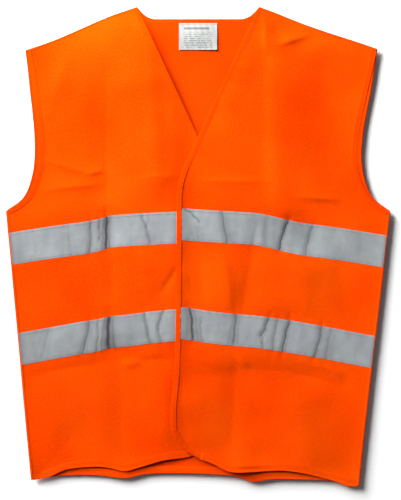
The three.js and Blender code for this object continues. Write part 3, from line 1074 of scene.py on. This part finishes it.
# A front panel is one cloth from its front edge to the side, across the place where the CAD is split.
def makeFrontPanel(name, side, finish):
    x, y = frontGrid(name, side["mirror"])
    piece = sheetMesh(name + "FrontPanel", x, y, side["height"](x, y), layer["clothThick"], finish)
    bendFront(piece, side)
    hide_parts(name + "_front_panel", name + "_front_side_panel")
    print(name, "front panel", x.shape)


# The foot of a front edge binding dives under the hem band.
band = {
    "halfWide": 0.0042,
    "halfThick": 0.00044,
    "stitchAt": 0.62,  # share of the half width
    "stitchUp": 0.55,  # share of the half thickness
    "tuck": 0.0006,
    "pucker": 0.00012,
    "puckerPitch": 0.011,
    "dive": 0.0009,
    "diveStart": 0.002,
    "diveLength": 0.009,
}


# Middle line of a binding: its edge moved in by half its width, with small puckers from
# the stitching.
def bandPath(edge, height, inwardSign, seed, dive=0.0):
    edge = stepped(edge)
    inward = leftOf(edge) * inwardSign
    middle = edge + inward * (band["halfWide"] - band["tuck"])
    length = np.arange(len(edge)) * build["bandStep"]
    draw = np.random.RandomState(seed)
    uneven = 2 * ripple(length, length, 0.09, seed)
    pucker = band["pucker"] * np.sin(2 * np.pi * length / band["puckerPitch"] + uneven)
    pucker *= draw.uniform(0.7, 1.3)
    z = height(middle[:, 0], middle[:, 1]) + pucker
    fromFoot = length if edge[0, 1] < edge[-1, 1] else length[::-1]
    z -= dive * (1 - ease(fromFoot, band["diveStart"], band["diveLength"]))
    return np.column_stack([middle, z]), inward


# A binding along an edge, with its row of stitches on top.
def makeBand(name, edge, height, inwardSign, finish, thread, seed, node, dive=0.0):
    path, inward = bandPath(edge, height, inwardSign, seed, dive)
    stitchAt = band["stitchAt"] * band["halfWide"]
    profile = bandProfile(band["halfWide"], band["halfThick"], stitchAt)
    piece = carried(name, path, inward, profile, finish)
    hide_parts(node)
    up = np.full(len(path), band["stitchUp"] * band["halfThick"])
    row = path + np.column_stack([inward * stitchAt, up])
    stitches = stitchRow(name + "Stitches", row, thread)
    return [piece, stitches]


# Tapes: heights of the two pairs at the side seams, how far they rise to the middle, and where
# each front's tape changes direction.
tapes = {
    "width": 0.050,
    "upper": 0.371 + hemLevel,
    "lower": 0.214 + hemLevel,
    "rise": 0.037,
    "backRise": 0.018,
    "turnSoftness": 0.004,
    "left": {"across": 0.091, "rise": 0.033},
    "right": {"across": 0.143, "rise": 0.027},
    "frontGap": 0.0066,
    "sideGap": 0.0012,
    "stitchIn": 0.0026,
    "stitchUnder": 0.8,  # share of the tape's thickness
    "puckerPitch": 0.013,
    "pucker": 0.00010,
    "edgeReach": 0.004,
    "edgeSink": 0.25,  # share of the tape's lift that its stitched edges lose
    "uneven": 0.0001,
    "strayBlur": 0.006,
}


# Middle line of a front tape: two straight runs joined by a soft corner where the tape
# changes direction.
def tapeLine(x, height, turn):
    sideAt = sideX(np.array([height]))[0]
    gentle = (tapes["rise"] - turn["rise"]) / (turn["across"] + cut["overlap"])
    steep = turn["rise"] / (sideAt - turn["across"])
    t = (x - turn["across"]) / tapes["turnSoftness"]
    past = tapes["turnSoftness"] * np.logaddexp(0, t)
    return height + turn["rise"] - gentle * (x - turn["across"]) - (steep - gentle) * past


# Worn lines along each crease, with painted shade: a dark core, two fainter strands beside it and a wide
# painted shade under them, each with its shift, strength and width as shares of the crease's own. The tape
# also darkens where it turns down at the side: painted shade.
strands = [(0.0, 1.0, 0.34), (0.9, 0.5, 0.22), (-1.1, 0.35, 0.20), (0.2, 0.42, 1.1)]
sideShade = {"dark": 0.30, "reach": 0.004}


def tapeWearAndShade(x, y, creases):
    wearAndShade = np.zeros_like(x)
    for p, q, depth, width, dark in creases:
        share, aside = across(x, y, p, q)
        aside = aside + wander(share, p)
        fade = ease(share, -0.10, 0.04) * ease(share, 1.10, 0.96)
        for shift, strength, thin in strands:
            strand = aside - shift * width * (0.6 + 0.6 * share)
            wearAndShade = np.maximum(wearAndShade, strength * dark * bell(strand, thin * width) * fade)
    return np.maximum(wearAndShade, sideShade["dark"] * bell(sideX(y) - np.abs(x), sideShade["reach"]))


# A row of stitches near the top of a tape's grid and one near its foot.
def tapeStitches(name, x, y, z, direction, thread, thick):
    made = []
    for edgeName, edgeAt in (("Top", 1), ("Foot", -1)):
        row = int(round((0.5 + edgeAt * (0.5 - tapes["stitchIn"] / tapes["width"])) * (len(x) - 1)))
        path = np.column_stack([x[row], y[row], z[row]])[::direction]
        stitches = stitchRow(name + edgeName + "Stitches", path, thread, thick)
        made.append(stitches)
    return made


# A front tape follows its middle line and its strays, puckered along both stitched edges.
def makeFrontTape(name, place, side, finish, thread):
    turn = tapes[name]
    height = tapes[place]
    columns = rowsFor(build["tapeLength"], build["tapeStep"])
    rows = rowsFor(tapes["width"], build["tapeStep"])
    v = np.linspace(-0.5, 0.5, rows)[:, None] * tapes["width"]
    u = np.linspace(0, 1, columns)[None, :]
    start = frontLine + tapes["frontGap"]
    x = start + (sideX(height + v) - tapes["sideGap"] - start) * u
    slope = np.gradient(tapeLine(x[0], height, turn), x[0])
    y = tapeLine(x, height, turn) + v * np.sqrt(1 + slope**2)[None, :]
    x = x * side["mirror"]
    strayAt, strayBy = np.array(tapeStray[name][place]).T
    blur = tapes["strayBlur"]
    y = y + sum(np.interp(x + shift, strayAt, strayBy) for shift in (-blur, 0, blur)) / 3
    creases = (leftCreases if name == "left" else rightCreases)[place]
    edgeNear = np.exp(-((tapes["width"] / 2 - np.abs(v)) / tapes["edgeReach"]))
    uneven = 3 * ripple(x, y, 0.08, 5)
    pucker = tapes["pucker"] * edgeNear * np.sin(2 * np.pi * x / tapes["puckerPitch"] + uneven)
    z = side["height"](x, y) + layer["tapeLift"] * (1 - tapes["edgeSink"] * edgeNear) + pucker
    z += tapes["uneven"] * ripple(x, y, 0.02, 7)
    wearAndShade = tapeWearAndShade(x, y, creases)
    tapeName = f"{name}{place.title()}Tape"
    piece = sheetMesh(tapeName, x, y, z, layer["tapeThick"], finish, wearAndShade)
    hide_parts(f"{name}_{place}_tape", f"{name}_{place}_tape_side")
    onTop = z + layer["tapeThick"] / 2
    rowsMade = tapeStitches(tapeName, x, y, onTop, side["mirror"], thread, stitch["thick"])
    for item in [piece, *rowsMade]:
        bendFront(item, side)


# A back tape arches a little between the side seams and lies under the back cloth.
def makeBackTape(place, finish, thread):
    height = tapes[place]
    columns = rowsFor(build["backTapeLength"], 2 * build["tapeStep"])
    rows = rowsFor(tapes["width"], build["tapeStep"])
    v = np.linspace(-0.5, 0.5, rows)[:, None] * tapes["width"]
    s = np.linspace(-1, 1, columns)[None, :]
    y = height + v + tapes["backRise"] * (1 - s**2)
    x = s * (sideX(y) - tapes["sideGap"])
    z = backHeight(x, y) - layer["tapeLift"]
    tapeName = f"back{place.title()}Tape"
    piece = sheetMesh(tapeName, x, y, z, layer["tapeThick"], finish, np.zeros_like(x))
    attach(piece, "back")
    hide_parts(f"back_{place}_tape")
    under = z - tapes["stitchUnder"] * layer["tapeThick"]
    for item in tapeStitches(tapeName, x, y, under, 1, thread, stitch["thickUnder"]):
        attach(item, "back")


seam = {"halfWide": 0.0021, "halfThick": 0.0013, "tuck": 0.0012, "wave": 0.0001, "wavePitch": 0.010}
hemBand = {
    "halfWide": 0.0055,
    "halfThick": 0.00038,
    "stitchIn": 0.0100,
    "stitchUp": 0.9,  # share of the half thickness
    "sideGap": 0.001,
    "overBinding": 0.005,
}


# A seam joins the two layers along an edge: a slim roll between them.
def makeSeam(name, line, mirror, finish):
    line = stepped(line) * (mirror, 1)
    inward = leftOf(line)
    inward *= -np.sign(inward[:, 0:1] * line[:, 0:1])
    middle = line + inward * seam["tuck"]
    z = backHeight(middle[:, 0], middle[:, 1]) + layer["seamGap"] / 2
    turns = np.arange(len(line)) * build["bandStep"] / seam["wavePitch"]
    z += seam["wave"] * np.sin(2 * np.pi * turns)
    profile = bandProfile(seam["halfWide"], seam["halfThick"], 2 * seam["halfWide"], 16)
    piece = carried(name, np.column_stack([middle, z]), inward, profile, finish)
    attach(piece, "back")


# A hem is the cloth's own edge turned up: a soft flat band along it, with one row of stitches.
def makeHem(name, line, height, finish, thread):
    line = stepped(line)
    inward = leftOf(line)
    inward *= np.sign(inward[:, 1:2])
    middle = line + inward * (hemBand["halfWide"] - band["tuck"])
    profile = bandProfile(hemBand["halfWide"], hemBand["halfThick"], 2 * hemBand["halfWide"])
    piece = carried(name, lay(middle, height), inward, profile, finish)
    row = lay(line + inward * hemBand["stitchIn"], height, hemBand["halfThick"] * hemBand["stitchUp"])
    stitches = stitchRow(name + "Stitches", row, thread)
    return [piece, stitches]


label = {
    "wide": 0.060,
    "tall": 0.042,
    "thick": 0.00032,
    "lift": 0.0011,
    "bulge": 0.0022,
    "curl": 0.0016,
    "curlMiddle": 0.35,  # share of the width where the foot curls least
    "uneven": 0.0001,
    "stitchIn": 0.0006,
    "turnLength": 0.010,
}


# The label hangs from its sewn top edge, bulges a little and lifts at its lower corners.
def makeLabel(finish, thread):
    top = float(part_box("care_label")[1][1])
    wide, tall = label["wide"], label["tall"]
    u, v = np.meshgrid(np.linspace(0, 1, 49), np.linspace(0, 1, 35))
    x = (u - 0.5) * wide
    y = top - (1 - v) * tall
    down = 1 - v
    fuller = 0.75 + 0.25 * np.cos(2 * np.pi * (u - 0.5))
    arch = label["bulge"] * np.sin(np.pi * np.clip(down * 1.05, 0, 1)) * fuller
    curl = label["curl"] * down**3 * (0.4 + 1.2 * np.abs(u - label["curlMiddle"]))
    z = backHeight(x, y) + label["lift"] + arch + curl + label["uneven"] * np.sin(40 * u + 6 * v)
    piece = sheetMesh("careLabel", x, y, z, label["thick"], finish)
    uv = piece.data.uv_layers["cloth"].data
    places = np.empty(len(uv) * 2)
    uv.foreach_get("uv", places)
    places = places.reshape(-1, 2) + (wide / 2, tall - top)
    uv.foreach_set("uv", places.ravel())
    row = np.column_stack([x[-2], y[-2] - label["stitchIn"], z[-2] + label["thick"] / 2])
    stitches = stitchRow("careLabelStitches", row, thread)
    for item in (piece, stitches):
        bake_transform(item)
    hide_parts("care_label")


pads = {"wide": 0.026, "tall": 0.060, "thick": 0.0007, "pinch": 0.06, "pinchPower": 4.0}


# A pad is a plate whose corners are pinched in by a power of the place across and along it.
def makePad(name, node, side, height, drop, finish):
    low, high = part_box(node)
    middle = ((low[0] + high[0]) / 2, (low[1] + high[1]) / 2)
    u, v = np.meshgrid(np.linspace(-1, 1, 21), np.linspace(-1, 1, 41))
    pinch = 1 - pads["pinch"] * np.abs(u * v) ** pads["pinchPower"]
    x = middle[0] + u * pinch * pads["wide"] / 2
    y = middle[1] + v * pinch * pads["tall"] / 2
    z = height(x, y) + drop
    piece = sheetMesh(name, x, y, z, pads["thick"], finish)
    bendFront(piece, side)
    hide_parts(node)
    return piece


# A front hem from its rounded corner, where it covers the end of the edge binding, to the side.
def hemLine(name, mirror):
    x = np.linspace(cornerX - hemBand["overBinding"], cut["halfHem"] - hemBand["sideGap"], 160)
    return np.column_stack([mirror * x, frontHem(x) + strayed(name, mirror * x)])


# The pieces from the floor up: back, fronts, pads and label.
def makeVest():
    cloth = knitFinish("orangeKnit", finishes["clothDeep"], finishes["clothBright"])
    binding = knitFinish("orangeBinding", finishes["bindingDeep"], finishes["bindingBright"],
                         finishes["ribPitch"])
    tape = tapeFinish()
    orangeThread = threadFinish("orangeThread", finishes["threadOrange"])
    greyThread = threadFinish("greyThread", finishes["threadGrey"])
    hooks = pileFinish("hookPile", finishes["hookOrange"], 900.0, 0.0004)
    loops = pileFinish("loopPile", finishes["loopOrange"], 420.0, 0.0005)
    # The back panel takes a darker copy of the orange knit: painted shade for the inside of the vest, seen
    # through the neck.
    makeBackPanel(knitFinish("orangeKnitBackPaintedShade", finishes["insidePaintedShadeDeep"], finishes["insidePaintedShadeBright"]))
    for place in ("upper", "lower"):
        makeBackTape(place, tape, greyThread)
    neckBand = makeBand("backNeckBinding", neckLine(), backHeight, 1, binding, orangeThread, 3,
                        "back_neck_binding")
    for item in neckBand:
        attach(item, "back")
    reach = cut["halfHem"] - hemBand["sideGap"]
    backX = np.linspace(-reach, reach, 90)
    backLine = np.column_stack([backX, backHem(backX) + strayed("back", backX)])
    for item in makeHem("backHem", backLine, backHeight, cloth, orangeThread):
        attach(item, "back")
    print("back done")
    for name, side in sides.items():
        mirror = side["mirror"]
        makeFrontPanel(name, side, cloth)
        for place in ("upper", "lower"):
            makeFrontTape(name, place, side, tape, greyThread)
        edgeLine = frontEdgeLaid(name, mirror) * (mirror, 1)
        edge = makeBand(name + "FrontEdgeBinding", edgeLine, side["height"], -mirror, binding, orangeThread,
                        5, name + "_front_edge_binding", band["dive"])
        hem = makeHem(name + "FrontHem", hemLine(name, mirror), side["height"], cloth, orangeThread)
        for item in edge + hem:
            bendFront(item, side)
        hole = armholeLine(0)[::-1] * (mirror, 1)
        backHole = armholeLine(cut["backArmholeProud"])[::-1] * (mirror, 1)
        front = makeBand(name + "ArmholeFrontBinding", hole, side["height"], mirror, binding, orangeThread,
                         7, name + "_armhole_front_binding")
        back = makeBand(name + "ArmholeBackBinding", backHole, backHeight, mirror, binding, orangeThread,
                        9, name + "_armhole_back_binding")
        for item in front + back:
            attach(item, "back")
        rise = float(strayed("back", np.array([mirror * hemCorner[0]]))[0])
        foot = hemCorner + (rise / (underarm[1] - hemLevel)) * (underarm - hemCorner)
        makeSeam(name + "SideSeam", np.vstack([foot, underarm]), mirror, cloth)
        makeSeam(name + "ShoulderSeam", np.vstack([shoulderTip, neckPoint]), mirror, cloth)
        print(name, "front done")
    for place in ("upper", "lower"):
        hook = makePad(place + "HookPad", place + "_hook_pad", sides["right"], rightHeight,
                       layer["clothThick"] / 2 + pads["thick"] / 2, hooks)
        loop = makePad(place + "LoopPad", place + "_loop_pad", sides["left"], leftHeight,
                       -layer["clothThick"] / 2 - pads["thick"] / 2, loops)
    makeLabel(labelFinish(label["wide"], label["tall"]), orangeThread)
    print("label and pads done")


makeCamera()
makeStudio()
makeVest()
